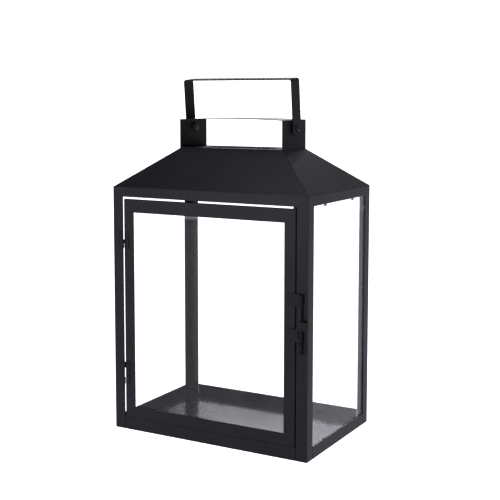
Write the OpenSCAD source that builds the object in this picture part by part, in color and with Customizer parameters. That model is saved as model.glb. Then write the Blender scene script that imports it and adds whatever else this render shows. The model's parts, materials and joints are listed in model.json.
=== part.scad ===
// Candle lantern: a glazed sheet-metal box with a hipped roof, a hinged front door and a strap handle.
// Origin at the centre of the underside, +Z up, the door faces -Y and +X is to its right.

/* [Body] */
// Width of the body, left to right
body_w = 300; // [260:1:340]
// Depth of the body, front to back
body_d = 197; // [170:1:230]
// Height of the body, floor to eave
body_h = 341; // [300:1:400]
// Thickness of the frame sheet
sheet = 1.2; // [1:0.1:1.5]
// Width of each leg of a corner post
post_w = 16.2; // [15:0.1:18]
// Height of the rails under the eave
top_rail_h = 13.5; // [11:0.5:16]
// Height of the rails round the tray
bottom_rail_h = 16.4; // [13:0.1:18]
// Height of the rail under the door
front_rail_h = 17.3; // [14:0.1:18.5]

/* [Roof] */
// Length of the flat top of the roof
plateau_w = 161.2; // [140:0.1:180]
// Depth of the flat top of the roof
plateau_d = 69.5; // [60:0.5:80]
// Rise from the eave to the flat top
roof_rise = 53.4; // [45:0.1:60]
// Thickness of the roof sheet
roof_t = 1; // [0.8:0.1:1.2]
// Length of the vent under the hood
vent_w = 104; // [60:1:116]
// Depth of the vent under the hood
vent_d = 38; // [20:1:50]

/* [Hood and handle] */
// Height of the hood's two ears
ear_h = 38.4; // [36:0.1:42]
// Thickness of the hood's cover sheet
hood_t = 0.8; // [0.6:0.1:1.2]
// How far the cover sheet arches up in its middle
hood_crown = 1.8; // [1:0.1:3]
// Height of the handle's pivot above the flat top
pivot_h = 28.1; // [26:0.1:29]
// Width of the handle strap
strap_w = 23.4; // [18:0.1:24]
// Thickness of the handle strap
strap_t = 1.8; // [1.5:0.1:2.5]
// Distance from the pivot to the top of the handle
strap_reach = 67.3; // [62:0.1:80]
// Forward lean of the handle as it stands, degrees
strap_lean = 5.6; // [0:0.1:10]

/* [Door] */
// Gap between the left post and the door
gap_left = 2.4; // [2:0.1:3]
// Gap between the door and the right post
gap_right = 1.6; // [1:0.1:2.5]
// Gap over the door
gap_top = 2.9; // [2:0.1:6]
// Gap under the door
gap_bottom = 0.5; // [0.5:0.1:3]
// Width of the door's two stiles
stile_w = 15.8; // [14:0.1:18]
// Height of the door's top rail
door_top_rail_h = 18.1; // [14:0.1:20]
// Height of the door's bottom rail
door_low_rail_h = 16.4; // [14:0.1:18]
// Depth of the door's folded edge
door_depth = 6; // [5:0.1:7]

/* [Glass] */
// Thickness of the panes
glass_t = 2; // [1.5:0.1:2]
// Height of the top edge of the fixed panes below the eave
glass_top_inset = 6; // [5:0.5:8]

/* [Hinges and latch] */
// Height of the foot of the lower hinge
hinge_low_z = 65.4; // [50:0.1:90]
// Height of the foot of the upper hinge
hinge_high_z = 256.7; // [220:0.1:270]
// Height of the middle of the latch bolt's finger plate
latch_z = 177.9; // [160:0.1:200]

/* [Hidden] */

satin_black = [0.14, 0.14, 0.16];
dark_black = [0.10, 0.10, 0.11];
clear_glass = [0.85, 0.92, 0.92, 0.3];

// Body outline
half_w = body_w / 2;
half_d = body_d / 2;
in_w = half_w - sheet;
in_d = half_d - sheet;
clearance = 0.3;

// Roof: the flat top plate lies on the four sloping panels
plateau_z = body_h + roof_rise;
panel_top_z = plateau_z - roof_t;
panel_rise = panel_top_z - body_h;
run_x = half_w - plateau_w / 2;
run_y = half_d - plateau_d / 2;
inset_x = roof_t * sqrt(run_x * run_x + panel_rise * panel_rise) / panel_rise;
inset_y = roof_t * sqrt(run_y * run_y + panel_rise * panel_rise) / panel_rise;
vent_corner_r = 8;

// Hood and handle
ear_top_z = plateau_z + ear_h;
pivot_z = plateau_z + pivot_h;
bolt_r = 3;
pivot_fit = 0.05;
spacer_t = 2.4;
pivot_play = 0.2;
leg_in_x = plateau_w / 2 + spacer_t + pivot_play;
leg_out_x = leg_in_x + strap_t;
strap_bend_r = 4;
strap_end = 10;
strap_end_r = 7;
hood_arc_r = (plateau_w * plateau_w / 4 + hood_crown * hood_crown) / (2 * hood_crown);
bolt_head_r = 5;
bolt_head_h = 3;
bolt_head_edge = 1;
bolt_tip_edge = 0.5;
bolt_tip_show = 1.5;
spacer_r = 5.5;
nut_r = 5.8;
nut_h = 5;

// Door: its face stands a little proud of the posts
door_proud = 0.5;
door_front_y = -half_d - door_proud;
door_back_y = door_front_y + door_depth;
door_left = -half_w + post_w + gap_left;
door_right = half_w - post_w - gap_right;
door_low = front_rail_h + gap_bottom;
door_high = body_h - top_rail_h - gap_top;
door_glass_front_y = door_front_y + sheet;
door_glass_gap = 0.4;
stop_gap = 0.4;
stop_y = door_back_y + stop_gap;
door_mid_x = (door_left + door_right) / 2;
door_mid_z = (door_low + door_high) / 2;
door_tab_reach = 5.4;
stop_top_z = 21;
stop_flange = 7;
stop_overlap = 8;

// Fixed panes stand behind the frame, held by bent tabs
pane_foot_gap = 0.2;
pane_low = sheet + pane_foot_gap;
pane_high = body_h - glass_top_inset;
pane_setback = 10.5;
pane_front_y = -half_d + pane_setback;
pane_corner_gap = 0.3;
back_pane_y = in_d - glass_t;
tab_t = 0.8;
tab_w = 7;
tab_show = 3.2;
tab_show_low = 0.5;
side_tab_y = 43.5;
back_tab_x = 90;

// Hinges: two knuckles on a pin that stands up from the lower one
hinge_leaf_t = 1;
knuckle_r = 1.9;
pin_r = 0.8;
pin_fit = 0.05;
hinge_x = -half_w + post_w + gap_left / 2;
hinge_y = -half_d - knuckle_r - door_proud;
hinge_leaf_w = 8.4;
hinge_neck = gap_left / 2 + 1.3;
neck_lap = 1;
// [total height, post knuckle height, foot of the door knuckle, door knuckle height]
hinge_low = [31, 8.8, 22.6, 8.4];
hinge_high = [21, 5.7, 6, 5.9];

// Latch: a bolt slides in two eyes on the door, down into a keeper on the post
latch_rod_r = 1.8;
latch_fit = 0.06;
eye_r = 2.9;
eye_t = 1.2;
eye_h = 16;
eye_gap = 0.4;
eye_rise = 23.7;
eye_leaf_w = 10.4;
keeper_drop = 1.5;
keeper_inset = 0.8;
bolt_lift = 0.4;
bolt_short = 0.7;
latch_inset = 9.2;
latch_x = half_w - latch_inset;
latch_y = -half_d - door_proud - eye_r;
finger_h = 11;
finger_t = 1.4;
finger_stem_t = 1.6;
finger_w = 16.4;
finger_left = 2.6;
finger_corner_r = 2.5;
finger_stand_off = 0.9;
eye_low_z = latch_z - finger_h / 2 - eye_gap - eye_h;
eye_high_z = latch_z + eye_rise;
keeper_h = 14.5;
keeper_z = eye_low_z - keeper_drop - keeper_h;
bolt_foot_z = eye_low_z + bolt_lift;
bolt_top_z = eye_high_z + eye_h - bolt_short;
eye_slit_h = 10.6;
eye_slit_w = 2.4;

// ---- shared shapes ----

// Outline drawn in X and Z, given its thickness towards +Y from y0
module wall_xz(y0, t) {
  translate([0, y0 + t, 0]) rotate([90, 0, 0]) linear_extrude(t) children();
}

// Outline drawn in Y and Z, given its thickness towards +X from x0
module wall_yz(x0, t) {
  translate([x0, 0, 0]) rotate([90, 0, 90]) linear_extrude(t) children();
}

module round_rect(w, d, r) {
  union() {
    square([w - 2 * r, d], center = true);
    square([w, d - 2 * r], center = true);
    for (sx = [-1, 1], sy = [-1, 1])
      translate([sx * (w / 2 - r), sy * (d / 2 - r)]) circle(r, $fn = 32);
  }
}

// Corner post of the back left corner: an angle whose tops are cut to meet the rails in a mitre
module corner_post() {
  edge_top = body_h - top_rail_h;
  side_start = in_d;
  side_cut = body_h - top_rail_h * sheet / post_w;
  color(satin_black) union() {
    wall_xz(in_d, sheet)
      polygon([[-half_w, 0], [-half_w + post_w, 0], [-half_w + post_w, edge_top], [-half_w, body_h]]);
    wall_yz(-half_w, sheet)
      polygon([[half_d - post_w, 0], [side_start, 0], [side_start, side_cut], [half_d - post_w, edge_top]]);
  }
}

// Rail under the eave, its lower corners cut away for the posts' mitres
module eave_rail_outline(half_len, start) {
  low = body_h - top_rail_h;
  cut_z = body_h - top_rail_h * (half_len - start) / post_w;
  polygon([[-start, body_h], [-start, cut_z], [-half_len + post_w, low],
           [half_len - post_w, low], [start, cut_z], [start, body_h]]);
}

// One sloping roof panel between outer and inner corner points, lower edge first
module roof_panel(outer, inner) {
  polyhedron(
    points = concat(outer, inner),
    faces = [[0, 1, 2, 3], [7, 6, 5, 4], [0, 4, 5, 1], [1, 5, 6, 2], [2, 6, 7, 3], [3, 7, 4, 0]]
  );
}

// Roof corner in quadrant (sx, sy) at the eave or the top, moved in by the sheet's inset
function eave_corner(sx, sy, inner) = [
  sx * (half_w - inner * inset_x), sy * (half_d - inner * inset_y), body_h
];
function top_corner(sx, sy, inner) = [
  sx * (plateau_w / 2 - inner * inset_x), sy * (plateau_d / 2 - inner * inset_y), panel_top_z
];
function panel_face(a, b, inner) = [
  eave_corner(a[0], a[1], inner), eave_corner(b[0], b[1], inner),
  top_corner(b[0], b[1], inner), top_corner(a[0], a[1], inner)
];

module roof_side(a, b) {
  color(satin_black) roof_panel(panel_face(b, a, 0), panel_face(b, a, 1));
}

// ---- base ----

module base_tray() {
  color(satin_black) translate([-in_w, -in_d, 0]) cube([2 * in_w, 2 * in_d, sheet]);
}

module bottom_rail_long(y0, h) {
  color(satin_black) translate([-half_w + post_w, y0, 0]) cube([body_w - 2 * post_w, sheet, h]);
}

module bottom_rail_short(x0) {
  color(satin_black) translate([x0, -half_d + post_w, 0])
    cube([sheet, body_d - 2 * post_w, bottom_rail_h]);
}

module bottom_rail_front() { bottom_rail_long(-half_d, front_rail_h); }
module bottom_rail_back() { bottom_rail_long(in_d, bottom_rail_h); }
module bottom_rail_left() { bottom_rail_short(-half_w); }
module bottom_rail_right() { bottom_rail_short(in_w); }

// ---- posts and eave rails ----

module post_back_left() { corner_post(); }
module post_back_right() { mirror([1, 0, 0]) corner_post(); }
module post_front_left() { mirror([0, 1, 0]) corner_post(); }
module post_front_right() { mirror([1, 0, 0]) mirror([0, 1, 0]) corner_post(); }

module top_rail_back() { color(satin_black) wall_xz(in_d, sheet) eave_rail_outline(half_w, half_w); }
module top_rail_front() { mirror([0, 1, 0]) top_rail_back(); }
module top_rail_right() { color(satin_black) wall_yz(in_w, sheet) eave_rail_outline(half_d, in_d); }
module top_rail_left() { mirror([1, 0, 0]) top_rail_right(); }

// ---- roof ----

module roof_front() { roof_side([-1, -1], [1, -1]); }
module roof_back() { roof_side([1, 1], [-1, 1]); }
module roof_left() { roof_side([-1, 1], [-1, -1]); }
module roof_right() { roof_side([1, -1], [1, 1]); }

// Flat top with a round-cornered vent for the hot air
module roof_top_plate() {
  color(satin_black) translate([0, 0, panel_top_z]) linear_extrude(roof_t) difference() {
    square([plateau_w, plateau_d], center = true);
    round_rect(vent_w, vent_d, vent_corner_r);
  }
}

// ---- hood ----

// The ear's outer face is flush with the end of the flat top; the handle bolt passes through it
module hood_ear(side) {
  color(satin_black) difference() {
    translate([side > 0 ? plateau_w / 2 - sheet : -plateau_w / 2, -plateau_d / 2, plateau_z])
      cube([sheet, plateau_d, ear_h]);
    translate([side * plateau_w / 2, 0, pivot_z]) rotate([0, 90, 0])
      cylinder(r = bolt_r, h = 4 * sheet, center = true, $fn = 48);
  }
}

module hood_ear_left() { hood_ear(-1); }
module hood_ear_right() { hood_ear(1); }

// Cover sheet: a shallow arch standing on the two ears
module hood_cover() {
  arc_z = ear_top_z + hood_crown - hood_arc_r;
  color(satin_black) intersection() {
    wall_xz(-plateau_d / 2, plateau_d) translate([0, arc_z]) difference() {
      circle(hood_arc_r + hood_t, $fn = 720);
      circle(hood_arc_r, $fn = 720);
    }
    translate([-plateau_w / 2, -plateau_d, ear_top_z - hood_t / 4])
      cube([plateau_w, 2 * plateau_d, 10]);
  }
}

// ---- glazing ----

module glass_side(x0) {
  color(clear_glass) translate([x0, pane_front_y, pane_low])
    cube([glass_t, back_pane_y - pane_corner_gap - pane_front_y, pane_high - pane_low]);
}

module glass_left() { glass_side(-in_w); }
module glass_right() { glass_side(in_w - glass_t); }

module glass_back() {
  half_len = in_w - glass_t - pane_corner_gap;
  color(clear_glass) translate([-half_len, back_pane_y, pane_low])
    cube([2 * half_len, glass_t, pane_high - pane_low]);
}

// Bent tabs of one wall, drawn for a wall whose inner face is the plane x = 0 and room at x < 0
module wall_tabs(centre_distance) {
  back_x = -glass_t - clearance - tab_t;
  low = body_h - top_rail_h - tab_show;
  for (s = [-1, 1]) translate([0, s * centre_distance - tab_w / 2, 0]) {
    union() {
      translate([back_x, 0, pane_high + clearance]) cube([-back_x, tab_w, tab_t]);
      translate([back_x, 0, low]) cube([tab_t, tab_w, pane_high + clearance + tab_t - low]);
    }
    translate([back_x, 0, sheet]) cube([tab_t, tab_w, bottom_rail_h + tab_show_low - sheet]);
  }
}

module glass_tabs_right() { color(satin_black) translate([in_w, 0, 0]) wall_tabs(side_tab_y); }
module glass_tabs_left() { mirror([1, 0, 0]) glass_tabs_right(); }
module glass_tabs_back() {
  color(satin_black) translate([0, in_d, 0]) rotate([0, 0, 90]) wall_tabs(back_tab_x);
}

// ---- stops behind the door ----

// Angle welded to the tray behind the lower edge of the door
module door_stop_bottom() {
  flange_half_w = in_w - glass_t - clearance - tab_t - clearance;
  color(satin_black) union() {
    translate([-in_w, stop_y, sheet]) cube([2 * in_w, sheet, stop_top_z - sheet]);
    translate([-flange_half_w, stop_y, sheet]) cube([2 * flange_half_w, stop_flange, sheet]);
  }
}

// Strip behind the latch side of the door
module door_stop_right() {
  strip_left = half_w - post_w - stop_overlap;
  color(satin_black) translate([strip_left, stop_y, stop_top_z])
    cube([in_w - strip_left, sheet, body_h - top_rail_h / 2 - stop_top_z]);
}

// ---- hinges ----

// Leaf on the post: a plate with the lower knuckle, which grips the pin
module post_leaf(z0, dims) {
  color(satin_black) difference() {
    union() {
      translate([hinge_x - hinge_leaf_w, -half_d - hinge_leaf_t, z0])
        cube([hinge_leaf_w - hinge_neck, hinge_leaf_t, dims[0]]);
      translate([hinge_x - hinge_neck - neck_lap, -half_d - hinge_leaf_t, z0])
        cube([hinge_neck + neck_lap, hinge_leaf_t, dims[1]]);
      translate([hinge_x, hinge_y, z0]) cylinder(r = knuckle_r, h = dims[1], $fn = 48);
    }
    translate([hinge_x, hinge_y, z0 - 1]) cylinder(r = pin_r, h = dims[0], $fn = 48);
  }
}

// Leaf on the door: a plate with the upper knuckle, which turns on the pin
module door_leaf(z0, dims) {
  color(satin_black) difference() {
    union() {
      translate([hinge_x + hinge_neck, door_front_y - hinge_leaf_t, z0])
        cube([hinge_leaf_w - hinge_neck, hinge_leaf_t, dims[0]]);
      translate([hinge_x, door_front_y - hinge_leaf_t, z0 + dims[2]])
        cube([hinge_neck + neck_lap, hinge_leaf_t, dims[3]]);
      translate([hinge_x, hinge_y, z0 + dims[2]]) cylinder(r = knuckle_r, h = dims[3], $fn = 48);
    }
    translate([hinge_x, hinge_y, z0 - 1]) cylinder(r = pin_r + pin_fit, h = 2 * dims[0], $fn = 48);
  }
}

module hinge_pin(z0, dims) {
  color(dark_black) translate([hinge_x, hinge_y, z0]) cylinder(r = pin_r, h = dims[0], $fn = 48);
}

module hinge_post_leaf_upper() { post_leaf(hinge_high_z, hinge_high); }
module hinge_post_leaf_lower() { post_leaf(hinge_low_z, hinge_low); }
module hinge_door_leaf_upper() { door_leaf(hinge_high_z, hinge_high); }
module hinge_door_leaf_lower() { door_leaf(hinge_low_z, hinge_low); }
module hinge_pin_upper() { hinge_pin(hinge_high_z, hinge_high); }
module hinge_pin_lower() { hinge_pin(hinge_low_z, hinge_low); }

// ---- latch ----

// Rolled eye on a flat plate that reaches to x_end; back is the plane the plate lies on
module rolled_eye(z0, h, x_end, back) {
  left = min(x_end, latch_x);
  difference() {
    union() {
      translate([left, back - eye_t, z0]) cube([abs(x_end - latch_x), eye_t, h]);
      translate([latch_x, latch_y, z0]) cylinder(r = eye_r, h = h, $fn = 64);
    }
    translate([latch_x, latch_y, z0 - 1]) cylinder(r = latch_rod_r + latch_fit, h = h + 2, $fn = 64);
  }
}

module latch_eye_upper() {
  color(satin_black) rolled_eye(eye_high_z, eye_h, door_right - eye_leaf_w, door_front_y);
}

// The lower eye is slit in front, so that the finger plate's stem can drop into it
module latch_eye_lower() {
  color(satin_black) difference() {
    rolled_eye(eye_low_z, eye_h, door_right - eye_leaf_w, door_front_y);
    translate([latch_x - eye_slit_w / 2, latch_y - 2 * eye_r, eye_low_z + eye_h - eye_slit_h])
      cube([eye_slit_w, 2 * eye_r, eye_slit_h + 1]);
  }
}

module latch_keeper() {
  color(satin_black) rolled_eye(keeper_z, keeper_h, half_w - keeper_inset, -half_d);
}

module latch_bolt() {
  color(dark_black) translate([latch_x, latch_y, bolt_foot_z])
    cylinder(r = latch_rod_r, h = bolt_top_z - bolt_foot_z, $fn = 64);
}

// Finger plate in front of the eyes, on a stem that grips the bolt
module latch_finger() {
  plate_y = latch_y - eye_r - finger_stand_off;
  color(satin_black) difference() {
    union() {
      translate([latch_x - finger_stem_t / 2, plate_y, latch_z - finger_h / 2])
        cube([finger_stem_t, latch_y - plate_y, finger_h]);
      translate([latch_x + finger_w / 2 - finger_left, 0, latch_z]) wall_xz(plate_y - finger_t, finger_t)
        round_rect(finger_w, finger_h, finger_corner_r);
    }
    translate([latch_x, latch_y, latch_z])
      cylinder(r = latch_rod_r, h = 2 * finger_h, center = true, $fn = 64);
  }
}

// ---- door ----

// Face of one door member along X: outer edge on z = 0, height h, its ends mitred over side
module mitred_face(len, h, side) {
  polygon([[-len / 2, 0], [len / 2, 0], [len / 2 - side, h], [-len / 2 + side, h]]);
}

// Rail of the door with its face rising from z = 0 and a folded edge below
module door_rail(h) {
  len = door_right - door_left;
  union() {
    wall_xz(door_front_y, sheet) translate([door_mid_x, 0]) mitred_face(len, h, stile_w);
    translate([door_left + sheet, door_front_y, 0]) cube([len - 2 * sheet, door_depth, sheet]);
  }
}

module door_rail_bottom() { color(satin_black) translate([0, 0, door_low]) door_rail(door_low_rail_h); }

module door_rail_top() {
  color(satin_black) translate([0, 0, door_high]) mirror([0, 0, 1]) door_rail(door_top_rail_h);
}

module door_stile_left() {
  color(satin_black) union() {
    wall_xz(door_front_y, sheet)
      polygon([[door_left, door_low], [door_left + stile_w, door_low + door_low_rail_h],
               [door_left + stile_w, door_high - door_top_rail_h], [door_left, door_high]]);
    translate([door_left, door_front_y, door_low]) cube([sheet, door_depth, door_high - door_low]);
  }
}

module door_stile_right() {
  translate([2 * door_mid_x, 0, 0]) mirror([1, 0, 0]) door_stile_left();
}

module door_glass() {
  edge = sheet + door_glass_gap;
  color(clear_glass) translate([door_left + edge, door_glass_front_y, door_low + edge])
    cube([door_right - door_left - 2 * edge, glass_t, door_high - door_low - 2 * edge]);
}

// Eight flat tabs folded in from the door's edges behind the glass
module door_glass_tabs() {
  y0 = door_glass_front_y + glass_t;
  w = door_right - door_left - 2 * sheet;
  h = door_high - door_low - 2 * sheet;
  r = door_tab_reach;
  color(satin_black) for (s = [-1, 1], m = [-1, 1]) {
    translate([door_mid_x + s * (w - r) / 2, y0, door_mid_z + m * h / 4])
      wall_xz(0, tab_t) square([r, tab_w], center = true);
    translate([door_mid_x + m * w / 4, y0, door_mid_z + s * (h - r) / 2])
      wall_xz(0, tab_t) square([tab_w, r], center = true);
  }
}

// ---- handle ----

// Bolt of the right-hand pivot: head outside the strap, shank through strap, spacer, ear and nut
module pivot_bolt() {
  head_x = leg_out_x + pivot_play;
  head_top = head_x + bolt_head_h;
  tip_x = plateau_w / 2 - sheet - nut_h - bolt_tip_show;
  color(dark_black) translate([0, 0, pivot_z]) rotate([0, 90, 0]) rotate_extrude($fn = 64)
    polygon([[0, tip_x], [bolt_r - bolt_tip_edge, tip_x], [bolt_r, tip_x + bolt_tip_edge], [bolt_r, head_x],
             [bolt_head_r, head_x], [bolt_head_r, head_top - bolt_head_edge],
             [bolt_head_r - bolt_head_edge, head_top], [0, head_top]]);
}

module pivot_nut() {
  color(dark_black) translate([plateau_w / 2 - sheet - nut_h, 0, pivot_z]) rotate([0, 90, 0]) difference() {
    cylinder(r = nut_r, h = nut_h, $fn = 6);
    translate([0, 0, -1]) cylinder(r = bolt_r, h = nut_h + 2, $fn = 48);
  }
}

module pivot_spacer() {
  color(dark_black) translate([plateau_w / 2, 0, pivot_z]) rotate([0, 90, 0]) difference() {
    cylinder(r = spacer_r, h = spacer_t, $fn = 64);
    translate([0, 0, -1]) cylinder(r = bolt_r, h = spacer_t + 2, $fn = 64);
  }
}

module pivot_bolt_right() { pivot_bolt(); }
module pivot_bolt_left() { mirror([1, 0, 0]) pivot_bolt(); }
module pivot_nut_right() { pivot_nut(); }
module pivot_nut_left() { mirror([1, 0, 0]) pivot_nut(); }
module pivot_spacer_right() { pivot_spacer(); }
module pivot_spacer_left() { mirror([1, 0, 0]) pivot_spacer(); }

// Outline of the strap bent into a square bow, seen from the front, pivot height at z = 0
module strap_outline() {
  difference() {
    strap_bow(leg_out_x, strap_reach, strap_bend_r);
    strap_bow(leg_in_x, strap_reach - strap_t, strap_bend_r - strap_t);
  }
}

module strap_bow(half, top, r) {
  union() {
    translate([-half, -strap_w]) square([2 * half, strap_w + top - r]);
    translate([-half + r, -strap_w]) square([2 * (half - r), strap_w + top]);
    for (s = [-1, 1]) translate([s * (half - r), top - r]) circle(r, $fn = 48);
  }
}

// Side view of the strap: its legs end below the pivot in rounded corners
module strap_side_outline() {
  round_rect(strap_w, 2 * strap_end, strap_end_r);
  translate([-strap_w / 2, 0]) square([strap_w, 2 * strap_reach]);
}

module handle_strap() {
  color(satin_black) translate([0, 0, pivot_z]) rotate([strap_lean, 0, 0]) difference() {
    intersection() {
      wall_xz(-strap_w, 2 * strap_w) strap_outline();
      wall_yz(-body_w, 2 * body_w) strap_side_outline();
    }
    rotate([0, 90, 0]) cylinder(r = bolt_r + pivot_fit, h = body_w, center = true, $fn = 64);
  }
}

base_tray();
bottom_rail_front();
bottom_rail_back();
bottom_rail_left();
bottom_rail_right();
post_front_left();
post_front_right();
post_back_left();
post_back_right();
top_rail_front();
top_rail_back();
top_rail_left();
top_rail_right();
roof_front();
roof_back();
roof_left();
roof_right();
roof_top_plate();
hood_ear_left();
hood_ear_right();
hood_cover();
glass_left();
glass_right();
glass_back();
glass_tabs_left();
glass_tabs_right();
glass_tabs_back();
door_stop_bottom();
door_stop_right();
hinge_post_leaf_upper();
hinge_post_leaf_lower();
hinge_pin_upper();
hinge_pin_lower();
latch_keeper();
pivot_bolt_left();
pivot_bolt_right();
pivot_nut_left();
pivot_nut_right();
pivot_spacer_left();
pivot_spacer_right();
door_stile_left();
door_stile_right();
door_rail_top();
door_rail_bottom();
door_glass();
door_glass_tabs();
hinge_door_leaf_upper();
hinge_door_leaf_lower();
latch_eye_upper();
latch_eye_lower();
latch_bolt();
latch_finger();
handle_strap();
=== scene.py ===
# Candle lantern: satin black powder-coated sheet metal, clear panes, blackened fasteners.
import json
import math

import bmesh
import bpy
from mathutils import Matrix, Vector


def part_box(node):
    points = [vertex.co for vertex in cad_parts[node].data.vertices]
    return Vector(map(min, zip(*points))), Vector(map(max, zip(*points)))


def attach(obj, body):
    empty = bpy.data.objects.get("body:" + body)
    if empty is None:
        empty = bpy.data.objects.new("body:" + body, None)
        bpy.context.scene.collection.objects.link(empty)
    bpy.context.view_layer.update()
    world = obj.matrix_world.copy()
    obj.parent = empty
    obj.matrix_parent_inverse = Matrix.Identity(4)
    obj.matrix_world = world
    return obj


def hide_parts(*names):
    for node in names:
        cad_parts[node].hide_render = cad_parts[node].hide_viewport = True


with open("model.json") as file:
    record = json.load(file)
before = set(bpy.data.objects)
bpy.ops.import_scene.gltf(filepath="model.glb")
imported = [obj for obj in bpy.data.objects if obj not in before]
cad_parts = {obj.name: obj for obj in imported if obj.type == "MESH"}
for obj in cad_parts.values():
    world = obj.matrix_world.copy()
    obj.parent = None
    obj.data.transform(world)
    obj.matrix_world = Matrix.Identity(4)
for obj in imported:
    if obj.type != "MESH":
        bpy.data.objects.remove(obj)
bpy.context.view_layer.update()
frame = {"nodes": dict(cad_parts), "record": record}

MM = 0.001

# ---- sizes read from the frame ----

BODY_OF = {node: body for body, nodes in frame["record"]["behaviour"]["bodies"].items() for node in nodes}
post_low, post_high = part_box("post_front_left")
HALF_W = -post_low.x
HALF_D = -post_low.y
EAVE_Z = post_high.z
rail_low, rail_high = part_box("top_rail_front")
RAIL_Z = rail_low.z
POST_W = post_high.x - post_low.x
SHEET = rail_high.y - rail_low.y
top_low, top_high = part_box("roof_top_plate")
ROOF_T = top_high.z - top_low.z

# ---- materials ----


class Nodes:
    """Short hand for building one material's node tree."""

    def __init__(self, name):
        self.material = bpy.data.materials.new(name)
        self.material.use_nodes = True
        self.tree = self.material.node_tree
        self.shader = self.tree.nodes["Principled BSDF"]
        self.coordinates = self.add("ShaderNodeTexCoord").outputs["Object"]

    def add(self, kind, **settings):
        node = self.tree.nodes.new(kind)
        for key, value in settings.items():
            setattr(node, key, value)
        return node

    def link(self, source, target):
        self.tree.links.new(source, target)

    def set(self, **values):
        for key, value in values.items():
            self.shader.inputs[key.replace("_", " ")].default_value = value

    def stretched(self, scale):
        mapping = self.add("ShaderNodeMapping")
        mapping.inputs["Scale"].default_value = scale
        self.link(self.coordinates, mapping.inputs["Vector"])
        return mapping.outputs["Vector"]

    def noise(self, scale, detail=3, roughness=0.5, vector=None):
        node = self.add("ShaderNodeTexNoise")
        node.inputs["Scale"].default_value = scale
        node.inputs["Detail"].default_value = detail
        node.inputs["Roughness"].default_value = roughness
        self.link(vector or self.coordinates, node.inputs["Vector"])
        return node.outputs["Fac"]

    def ramp(self, source, stops):
        node = self.add("ShaderNodeValToRGB")
        elements = node.color_ramp.elements
        for element, (place, colour) in zip(elements, stops):
            element.position = place
            element.color = (*colour, 1)
        for place, colour in stops[2:]:
            elements.new(place).color = (*colour, 1)
        self.link(source, node.inputs["Fac"])
        return node.outputs["Color"]

    def spread(self, source, low, high, start=0.3, end=0.7):
        node = self.add("ShaderNodeMapRange")
        for key, value in (("From Min", start), ("From Max", end), ("To Min", low), ("To Max", high)):
            node.inputs[key].default_value = value
        self.link(source, node.inputs["Value"])
        return node.outputs["Result"]

    def times(self, a, b):
        node = self.add("ShaderNodeMath", operation="MULTIPLY")
        self.link(a, node.inputs[0])
        self.link(b, node.inputs[1])
        return node.outputs[0]

    def mix(self, factor, a, b):
        node = self.add("ShaderNodeMix", data_type="RGBA")
        self.link(factor, node.inputs["Factor"])
        for slot, value in (("A", a), ("B", b)):
            sockets = [s for s in node.inputs if s.name == slot and s.type == "RGBA"]
            if isinstance(value, tuple):
                sockets[0].default_value = (*value, 1)
            else:
                self.link(value, sockets[0])
        return [s for s in node.outputs if s.type == "RGBA"][0]

    def bump(self, height, distance, strength=1.0, below=None):
        node = self.add("ShaderNodeBump")
        node.inputs["Distance"].default_value = distance
        node.inputs["Strength"].default_value = strength
        self.link(height, node.inputs["Height"])
        if below:
            self.link(below, node.inputs["Normal"])
        return node.outputs["Normal"]

    def edge(self):
        node = self.add("ShaderNodeAttribute", attribute_name="edge_wear")
        return node.outputs["Fac"]


def powder_coat(name, dark, light, rough, worn, peel=0.6):
    """Satin powder coat: fine orange peel, faint clouding, and edges rubbed a little lighter."""
    n = Nodes(name)
    clouds = n.noise(14, 4)
    flecks = n.noise(900, 2)
    base = n.ramp(n.noise(55, 5, 0.6), [(0.3, dark), (0.72, light)])
    speck = n.mix(n.spread(flecks, 0, 0.5, 0.55, 0.8), base, light)
    rubbed = n.times(n.edge(), n.spread(n.noise(160, 4), 0, 0.55, 0.42, 0.7))
    n.link(n.mix(rubbed, speck, worn), n.shader.inputs["Base Color"])
    n.link(n.spread(clouds, rough[0], rough[1]), n.shader.inputs["Roughness"])
    skin = n.bump(n.noise(1100, 3), 0.00004, peel)
    n.link(n.bump(n.noise(24, 2), 0.0004, 0.2 * peel, skin), n.shader.inputs["Normal"])
    n.set(IOR=1.35)
    return n.material


def black_oxide(name, dark, light, rough, worn):
    """Blackened steel: fine turning marks, oily clouding, and bright rubbed edges."""
    n = Nodes(name)
    base = n.ramp(n.noise(120, 5, 0.6), [(0.3, dark), (0.75, light)])
    rubbed = n.times(n.edge(), n.spread(n.noise(400, 3), 0, 0.7, 0.45, 0.7))
    n.link(n.mix(rubbed, base, worn), n.shader.inputs["Base Color"])
    n.link(n.spread(n.noise(220, 4), rough[0], rough[1]), n.shader.inputs["Roughness"])
    marks = n.noise(60, 3, 0.6, n.stretched((40, 4, 4)))
    n.link(n.bump(marks, 0.00003, 0.5), n.shader.inputs["Normal"])
    n.set(IOR=1.6, Metallic=0.6)
    return n.material


def clear_glass(name):
    """Float glass: a trace of green, with faint dust and drawn streaks in its gloss."""
    n = Nodes(name)
    dust = n.noise(260, 5, 0.65)
    base = n.ramp(n.noise(20, 3), [(0.3, (0.965, 0.985, 0.98)), (0.7, (0.985, 0.995, 0.99))])
    n.link(base, n.shader.inputs["Base Color"])
    n.link(n.spread(dust, 0.0, 0.035, 0.45, 0.75), n.shader.inputs["Roughness"])
    streaks = n.noise(3, 2, 0.5, n.stretched((6, 6, 0.8)))
    n.link(n.bump(streaks, 0.0004, 0.05), n.shader.inputs["Normal"])
    n.set(IOR=1.45, Transmission_Weight=1.0)
    return n.material


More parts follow.
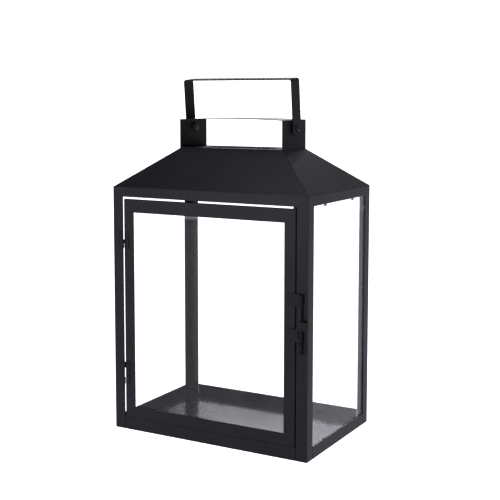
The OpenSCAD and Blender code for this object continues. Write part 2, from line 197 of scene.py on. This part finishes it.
COAT = powder_coat("powder_coat", (0.010, 0.0095, 0.013), (0.0145, 0.014, 0.0185), (0.27, 0.35),
                   (0.05, 0.05, 0.055))
# Small parts: the same coat made darker and rougher, a painted shade standing in for the shadow the hinges
# and latch sit in.
COAT_PAINTED_SHADE = powder_coat("powder_coat_small_parts_painted_shade", (0.006, 0.006, 0.0075), (0.010, 0.010, 0.012),
                        (0.36, 0.48), (0.045, 0.045, 0.05))
COAT_MATTE = powder_coat("powder_coat_matte", (0.0135, 0.013, 0.0165), (0.0195, 0.019, 0.024), (0.52, 0.62),
                         (0.045, 0.045, 0.05))
TRAY_COAT = powder_coat("powder_coat_tray", (0.010, 0.0095, 0.013), (0.0145, 0.014, 0.0185), (0.15, 0.2),
                        (0.05, 0.05, 0.055), peel=0.15)
OXIDE = black_oxide("black_oxide", (0.012, 0.012, 0.013), (0.03, 0.03, 0.033), (0.24, 0.36),
                    (0.12, 0.12, 0.13))
OXIDE_SHINY = black_oxide("black_oxide_fasteners", (0.03, 0.03, 0.032), (0.11, 0.11, 0.115), (0.16, 0.28),
                          (0.5, 0.5, 0.5))
GLASS = clear_glass("clear_glass")

# ---- mesh work ----


def cad_mesh(*nodes):
    """The CAD meshes of nodes as one bmesh, with their flat faces whole again."""
    bm = bmesh.new()
    for node in nodes:
        bm.from_mesh(frame["nodes"][node].data)
    bmesh.ops.remove_doubles(bm, verts=bm.verts, dist=0.002 * MM)
    bmesh.ops.dissolve_limit(bm, angle_limit=math.radians(0.5), verts=bm.verts, edges=bm.edges)
    bmesh.ops.recalc_face_normals(bm, faces=bm.faces)
    return bm


def wear_layer(bm):
    return bm.faces.layers.float.get("edge_wear") or bm.faces.layers.float.new("edge_wear")


def round_edges(bm, edges, radius, segments):
    """Rounds the edges and marks the new faces as the ones that wear."""
    if not edges:
        return
    layer = wear_layer(bm)
    made = bmesh.ops.bevel(bm, geom=edges, offset=radius, offset_type="OFFSET", segments=segments,
                           affect="EDGES", profile=0.5, clamp_overlap=True, miter_outer="ARC")
    for face in made["faces"]:
        face[layer] = 1.0


def sharp_edges(bm, angle=28):
    limit = math.radians(angle)
    return [e for e in bm.edges if len(e.link_faces) == 2 and e.calc_face_angle(0) > limit]


def finish_mesh(name, bm, material, body, nodes, smooth_angle=40):
    """Makes the piece with its material and body, and hides the CAD nodes it stands for."""
    wear_layer(bm)
    bmesh.ops.recalc_face_normals(bm, faces=bm.faces)
    mesh = bpy.data.meshes.new(name)
    bm.to_mesh(mesh)
    bm.free()
    mesh.shade_smooth()
    mesh.set_sharp_from_angle(angle=math.radians(smooth_angle))
    mesh.materials.append(material)
    piece = bpy.data.objects.new(name, mesh)
    bpy.context.scene.collection.objects.link(piece)
    weighted = piece.modifiers.new("even_normals", "WEIGHTED_NORMAL")
    weighted.keep_sharp = True
    weighted.weight = 90
    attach(piece, body)
    if nodes:
        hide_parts(*nodes)
    return piece


def polished(node, material, radius, segments=2, folds=None, fold_radius=0.7, trim=None):
    """A CAD node with its edges rounded, its folds rounded more, and its ends set back by a trim."""
    bm = cad_mesh(node)
    if trim:
        axis, amount = trim
        low, high = (corner[axis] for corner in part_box(node))
        for v in bm.verts:
            if near(v.co[axis], low):
                v.co[axis] += amount * MM
            elif near(v.co[axis], high):
                v.co[axis] -= amount * MM
    if folds:
        round_edges(bm, [e for e in bm.edges if all(folds(v.co) for v in e.verts)], fold_radius * MM, 4)
    round_edges(bm, sharp_edges(bm), radius * MM, segments)
    return finish_mesh(node + "_piece", bm, material, BODY_OF[node], [node])


def near(a, b):
    return abs(a - b) < 0.01 * MM


# ---- frame ----

# How far each bottom rail stops short of the posts at its ends, in millimetres
BUTT_GAP = 0.6

polished("base_tray", TRAY_COAT, 0.2)
for side, axis in (("front", 0), ("back", 0), ("left", 1), ("right", 1)):
    polished("bottom_rail_" + side, COAT, 0.22, trim=(axis, BUTT_GAP))

for corner in ("front_left", "front_right", "back_left", "back_right"):
    polished("post_" + corner, COAT, 0.22,
             folds=lambda co: near(abs(co.x), HALF_W) and near(abs(co.y), HALF_D))

# ---- roof ----


def ring_corners(x, y, z):
    return [Vector((-x, -y, z)), Vector((x, -y, z)), Vector((x, y, z)), Vector((-x, y, z))]


def front_rail_lean(x):
    """How far the lower edge of the front eave rail stands out: it twists along its length."""
    along = (x + HALF_W) / (2 * HALF_W)
    ramp = min(1.0, max(0.0, (along - RAMP_START) / RAMP_LENGTH))
    return LEAN_LEFT + (LEAN_RIGHT - LEAN_LEFT) * ramp * ramp * (3 - 2 * ramp)


def twist_front_rail(bm):
    rail = [f for f in bm.faces if max(v.co.y for v in f.verts) < -HALF_D + 2 * SHEET]
    for k in range(1, RAIL_CUTS):
        x = HALF_W * (2 * k / RAIL_CUTS - 1)
        around = set(rail)
        geometry = rail + [e for e in bm.edges if around & set(e.link_faces)]
        geometry += [v for v in bm.verts if around & set(v.link_faces)]
        cut = bmesh.ops.bisect_plane(bm, geom=geometry, dist=0.001 * MM,
                                     plane_co=(x, 0, 0), plane_no=(1, 0, 0))
        rail = [g for g in cut["geom"] if isinstance(g, bmesh.types.BMFace)]
    for v in bm.verts:
        if near(v.co.z, RAIL_Z) and v.co.y < -HALF_D + 2 * SHEET:
            v.co.y -= front_rail_lean(v.co.x)


def roof_cap():
    """Eave rails and slopes as one folded cap, mitred where its rails meet the posts."""
    bm = bmesh.new()
    layers = []
    slope_z = top_low.z
    for depth in (0, 1):
        inset_x, inset_y = depth * ROOF_INSET[0], depth * ROOF_INSET[1]
        wall = depth * SHEET
        eave = [bm.verts.new(v) for v in ring_corners(HALF_W - wall, HALF_D - wall, EAVE_Z)]
        top = [bm.verts.new(v) for v in ring_corners(top_high.x - inset_x, top_high.y - inset_y, slope_z)]
        feet = []
        for k in range(4):
            a, b = eave[k].co, eave[(k + 1) % 4].co
            along = (b - a).normalized()
            reach = POST_W - wall
            drop = Vector((0, 0, a.z - RAIL_Z))
            feet.append((bm.verts.new(a + along * reach - drop), bm.verts.new(b - along * reach - drop)))
        layers.append((eave, top, feet))
    outer, inner = layers
    for (eave, top, feet), flip in ((outer, False), (inner, True)):
        for k in range(4):
            j = (k + 1) % 4
            for loop in ([eave[k], eave[j], top[j], top[k]], [feet[k][0], feet[k][1], eave[j], eave[k]]):
                bm.faces.new(loop[::-1] if flip else loop)
    for k in range(4):
        j = (k + 1) % 4
        bm.faces.new([outer[1][k], outer[1][j], inner[1][j], inner[1][k]])
        for end, corner in ((0, k), (1, j)):
            bm.faces.new([outer[2][k][end], outer[0][corner], inner[0][corner], inner[2][k][end]])
        bm.faces.new([outer[2][k][0], outer[2][k][1], inner[2][k][1], inner[2][k][0]])
    bmesh.ops.recalc_face_normals(bm, faces=bm.faces)
    twist_front_rail(bm)

    def is_fold(edge):
        a, b = (v.co for v in edge.verts)
        on_eave = [near(abs(v.x), HALF_W) and near(abs(v.y), HALF_D) and near(v.z, EAVE_Z) for v in (a, b)]
        on_top = [near(abs(v.x), top_high.x) and near(abs(v.y), top_high.y) for v in (a, b)]
        return all(on_eave) or (any(on_eave) and any(on_top))

    round_edges(bm, [e for e in bm.edges if is_fold(e)], ROOF_FOLD, 3)
    round_edges(bm, sharp_edges(bm, 60), CUT_EDGE, 1)
    nodes = [kind + side for kind in ("roof_", "top_rail_") for side in ("front", "back", "left", "right")]
    return finish_mesh("roof_cap", bm, COAT, BODY_OF["roof_front"], nodes, 35)


rise = top_low.z - EAVE_Z
run = (HALF_W - top_high.x, HALF_D - top_high.y)
ROOF_INSET = [ROOF_T * math.hypot(r, rise) / rise for r in run]
ROOF_FOLD = 0.45 * MM
CUT_EDGE = 0.15 * MM
# The front eave rail leans from LEAN_LEFT to LEAN_RIGHT over a stretch given as parts of its length
RAIL_CUTS = 24
RAMP_START = 0.15
RAMP_LENGTH = 0.35
LEAN_LEFT = -0.45 * MM
LEAN_RIGHT = 1.5 * MM
roof_cap()
polished("roof_top_plate", COAT_MATTE, 0.25)

# ---- hood ----

for side in ("left", "right"):
    polished("hood_ear_" + side, COAT_MATTE, 0.25)

hood_low, hood_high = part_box("hood_cover")


def hood_cover():
    """Arched cover sheet, welded along the tops of the two ears."""
    columns, rows = HOOD_GRID
    half = hood_high.x
    ear_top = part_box("hood_ear_left")[1].z
    crown = hood_high.z - ear_top - HOOD_T
    radius = (half * half + crown * crown) / (2 * crown)
    bm = bmesh.new()
    grids = []
    for level in (0.0, HOOD_T):
        grid = []
        for i in range(columns + 1):
            x = -half + 2 * half * i / columns
            z = ear_top + crown - radius + math.sqrt(radius * radius - x * x) + level
            grid.append([bm.verts.new((x, hood_low.y + (hood_high.y - hood_low.y) * j / rows, z))
                         for j in range(rows + 1)])
        grids.append(grid)
    for grid, flip in zip(grids, (True, False)):
        for i in range(columns):
            for j in range(rows):
                loop = [grid[i][j], grid[i + 1][j], grid[i + 1][j + 1], grid[i][j + 1]]
                bm.faces.new(loop[::-1] if flip else loop)
    low, high = grids
    for i in range(columns):
        for j in (0, rows):
            bm.faces.new([low[i][j], low[i + 1][j], high[i + 1][j], high[i][j]])
    for j in range(rows):
        for i in (0, columns):
            bm.faces.new([low[i][j], low[i][j + 1], high[i][j + 1], high[i][j]])
    bmesh.ops.recalc_face_normals(bm, faces=bm.faces)
    round_edges(bm, sharp_edges(bm), CUT_EDGE, 2)
    return finish_mesh("hood_cover_sheet", bm, COAT, BODY_OF["hood_cover"], ["hood_cover"])


HOOD_T = 0.8 * MM
HOOD_GRID = (40, 10)
hood_cover()

# ---- handle and its pivots ----

polished("handle_strap", COAT_MATTE, 0.4, 3)


TURNED_STEPS = 72


def hexagon(circumradius):
    """Radius of a hexagon at an angle from one of its corners."""
    def radius(angle):
        return circumradius * math.cos(math.pi / 6) / math.cos(angle % (math.pi / 3) - math.pi / 6)
    return radius


def turned(name, node, rings, sign, smooth_angle, bored=True):
    """Fastener along X, closed or bored through, made from rings of (radius, height) in millimetres.

    A radius may be a function of the angle, and a height a function of the radius.
    """
    bm = bmesh.new()
    low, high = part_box(node)
    centre = (low + high) / 2
    steps = TURNED_STEPS
    loops = []
    for radius, height in rings:
        loop = []
        for k in range(steps):
            angle = 2 * math.pi * k / steps
            r = radius(angle) if callable(radius) else radius
            h = height(r) if callable(height) else height
            loop.append(bm.verts.new((sign * h * MM, centre.y + r * MM * math.sin(angle),
                                      centre.z + r * MM * math.cos(angle))))
        loops.append(loop)
    for a, b in zip(loops, loops[1:]):
        for k in range(steps):
            j = (k + 1) % steps
            bm.faces.new([a[k], a[j], b[j], b[k]])
    if bored:
        for k in range(steps):
            j = (k + 1) % steps
            bm.faces.new([loops[-1][k], loops[-1][j], loops[0][j], loops[0][k]])
    else:
        bm.faces.new(loops[0])
        bm.faces.new(loops[-1])
    return finish_mesh(name, bm, OXIDE_SHINY, BODY_OF[node], [node], smooth_angle)


# Button-head M6 bolt and its nut, in millimetres
BOLT_R = 3.0
HEAD_H = 3
NUT_H = 5
THREAD_DEPTH = 0.25
THREAD_STEP = 0.25


def pivot(side, sign):
    ear_out = max(abs(corner.x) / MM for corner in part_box("hood_ear_" + side))
    nut_in = min(abs(corner.x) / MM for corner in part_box("pivot_nut_" + side))
    bolt_in, bolt_out = sorted(abs(corner.x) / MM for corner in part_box("pivot_bolt_" + side))
    spacer_out = max(abs(corner.x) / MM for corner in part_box("pivot_spacer_" + side))
    head = bolt_out - HEAD_H
    thread = [(BOLT_R - THREAD_DEPTH * (k % 2), bolt_in + 0.5 + THREAD_STEP * k) for k in range(1, 6)]
    turned("pivot_bolt_" + side + "_piece", "pivot_bolt_" + side,
           [(2.4, bolt_in), (2.75, bolt_in + 0.3)] + thread
           + [(BOLT_R, nut_in + 0.6), (BOLT_R, head), (4.8, head), (5, head + 0.2), (5, head + 0.9),
              (4.7, head + 1.7), (4.1, head + 2.4), (3.3, head + 2.85), (2.5, head + HEAD_H),
              (hexagon(2.1), head + 2.75),
              (hexagon(1.95), head + 1.2), (0.5, head + 1.0)], sign, 24, bored=False)

    def chamfer(edge, slope):
        return lambda r: edge + slope * max(0.0, r - 5.1)

    corner = hexagon(5.8)
    nut_out = nut_in + NUT_H
    turned("pivot_nut_" + side + "_piece", "pivot_nut_" + side,
           [(BOLT_R, nut_in + 0.5), (3.45, nut_in), (4.9, nut_in), (corner, chamfer(nut_in, 0.58)),
            (corner, chamfer(nut_out, -0.58)), (4.9, nut_out), (3.45, nut_out),
            (BOLT_R, nut_out - 0.5)], sign, 20)
    turned("pivot_spacer_" + side + "_piece", "pivot_spacer_" + side,
           [(BOLT_R, ear_out + 0.3), (3.3, ear_out), (5.2, ear_out), (5.5, ear_out + 0.3),
            (5.5, spacer_out - 0.3), (5.2, spacer_out), (3.3, spacer_out),
            (BOLT_R, spacer_out - 0.3)], sign, 30)


pivot("left", -1)
pivot("right", 1)

# ---- panes ----


def pane(node, radius=0.35):
    piece = polished(node, GLASS, radius, 2)
    piece.visible_shadow = False


for node in ("glass_left", "glass_right", "glass_back", "door_glass"):
    pane(node)

for node in ("glass_tabs_left", "glass_tabs_right", "glass_tabs_back", "door_glass_tabs"):
    polished(node, COAT, 0.15)

for node in ("door_stop_bottom", "door_stop_right"):
    polished(node, COAT, 0.22)

# ---- door ----

for node in ("door_stile_left", "door_stile_right", "door_rail_top", "door_rail_bottom"):
    polished(node, COAT, 0.22)

# ---- hinges and latch ----

# Hinge leaves, latch eyes, keeper and finger take the darker coat: painted shade.
for level in ("upper", "lower"):
    polished("hinge_post_leaf_" + level, COAT_PAINTED_SHADE, 0.2)
    polished("hinge_door_leaf_" + level, COAT_PAINTED_SHADE, 0.2)
    polished("hinge_pin_" + level, OXIDE, 0.25)
    polished("latch_eye_" + level, COAT_PAINTED_SHADE, 0.25)
polished("latch_keeper", COAT_PAINTED_SHADE, 0.25)
polished("latch_bolt", OXIDE, 0.6, 3)
polished("latch_finger", COAT_PAINTED_SHADE, 0.4)

# ---- stage ----


def stage_plane(name, corners, material):
    mesh = bpy.data.meshes.new(name)
    mesh.from_pydata(corners, [], [range(len(corners))])
    mesh.materials.append(material)
    obj = bpy.data.objects.new(name, mesh)
    bpy.context.scene.collection.objects.link(obj)


def straight_sight(tree):
    """1 for what the camera sees directly or through panes, 0 for what surfaces mirror or receive."""
    path = tree.nodes.new("ShaderNodeLightPath")
    bounces = tree.nodes.new("ShaderNodeMath")
    tree.links.new(path.outputs["Diffuse Depth"], bounces.inputs[0])
    tree.links.new(path.outputs["Glossy Depth"], bounces.inputs[1])
    first = tree.nodes.new("ShaderNodeMath")
    first.operation = "LESS_THAN"
    tree.links.new(bounces.outputs[0], first.inputs[0])
    return first.outputs[0]


def pale_floor():
    """Plain pale floor, the same all over, seen white and giving a soft even light."""
    n = Nodes("pale_floor")
    tree = n.tree
    tree.nodes.remove(n.shader)
    seen = straight_sight(tree)
    strength = n.add("ShaderNodeMix", data_type="FLOAT")
    n.link(seen, strength.inputs["Factor"])
    strength.inputs["A"].default_value = FLOOR_GLOW
    strength.inputs["B"].default_value = SIGHT
    glow = n.add("ShaderNodeEmission")
    glow.inputs["Color"].default_value = (*STUDIO_TINT, 1)
    n.link(strength.outputs["Result"], glow.inputs["Strength"])
    matte = n.add("ShaderNodeBsdfDiffuse")
    matte.inputs["Color"].default_value = (0.2, 0.2, 0.2, 1)
    both = n.add("ShaderNodeAddShader")
    n.link(glow.outputs[0], both.inputs[0])
    n.link(matte.outputs[0], both.inputs[1])
    n.link(both.outputs[0], tree.nodes["Material Output"].inputs["Surface"])
    return n.material


STUDIO_TINT = (0.925, 0.905, 1.0)
# Brightness of floor and world as the camera sees them, directly or through panes
SIGHT = 2.0
# Brightness of floor and world in what they light and what mirrors them
FLOOR_GLOW = 0.48
ROOM = 0.093
REACH = 9.0
stage_plane("floor", ring_corners(REACH, REACH, 0), pale_floor())

scene = bpy.context.scene
world = bpy.data.worlds.new("studio")
world.use_nodes = True
scene.world = world
tree = world.node_tree
background = tree.nodes["Background"]
level = tree.nodes.new("ShaderNodeMapRange")
level.inputs["To Min"].default_value = ROOM
level.inputs["To Max"].default_value = SIGHT
tree.links.new(straight_sight(tree), level.inputs["Value"])
tree.links.new(level.outputs["Result"], background.inputs["Strength"])
background.inputs["Color"].default_value = (1, 1, 1, 1)


def soft_light(name, place, target, size, power):
    data = bpy.data.lights.new(name, "AREA")
    data.shape = "RECTANGLE"
    data.size, data.size_y = size
    data.energy = power
    data.color = STUDIO_TINT
    lamp = bpy.data.objects.new(name, data)
    scene.collection.objects.link(lamp)
    aim = Vector(target) - Vector(place)
    lamp.matrix_world = Matrix.Translation(place) @ aim.to_track_quat("-Z", "Y").to_matrix().to_4x4()
    lamp.visible_camera = False


# Name, place, target, size in metres, power in watts
soft_light("soft_top", (0.05, -0.45, 2.2), (0.05, -0.45, 0), (2.05, 1.2), 10)
soft_light("soft_far", (0.0, 3.6, 2.1), (0, 0, 0.4), (1.5, 1.0), 0.9)
soft_light("soft_back", (-1.6, 3.6, 1.97), (-0.1, 0, 1.97), (1.5, 1.2), 26)
soft_light("soft_front", (-0.86, -2.2, 0.8), (0, 0, 0.8), (0.98, 1.54), 7.8)

# ---- camera ----


# The photo's viewing angle: degrees round from the door's side, and degrees down
AZIMUTH = 29.585
PITCH = 5.695
CAMERA_PLACE = (0.70545, -1.24774, 0.46403)
LENS = 74.282
SHIFT = (0.0187, -0.10)


def aimed_camera():
    azimuth, pitch = math.radians(AZIMUTH), math.radians(PITCH)
    level = math.cos(pitch)
    back = Vector((math.sin(azimuth) * level, -math.cos(azimuth) * level, math.sin(pitch)))
    right = Vector((math.cos(azimuth), math.sin(azimuth), 0))
    up = back.cross(right)
    data = bpy.data.cameras.new("camera")
    data.sensor_width = 36
    data.lens = LENS
    data.shift_x, data.shift_y = SHIFT
    camera = bpy.data.objects.new("camera", data)
    scene.collection.objects.link(camera)
    turn = Matrix((right, up, back)).transposed().to_4x4()
    camera.matrix_world = Matrix.Translation(CAMERA_PLACE) @ turn
    scene.camera = camera


aimed_camera()
scene.view_settings.view_transform = "Standard"
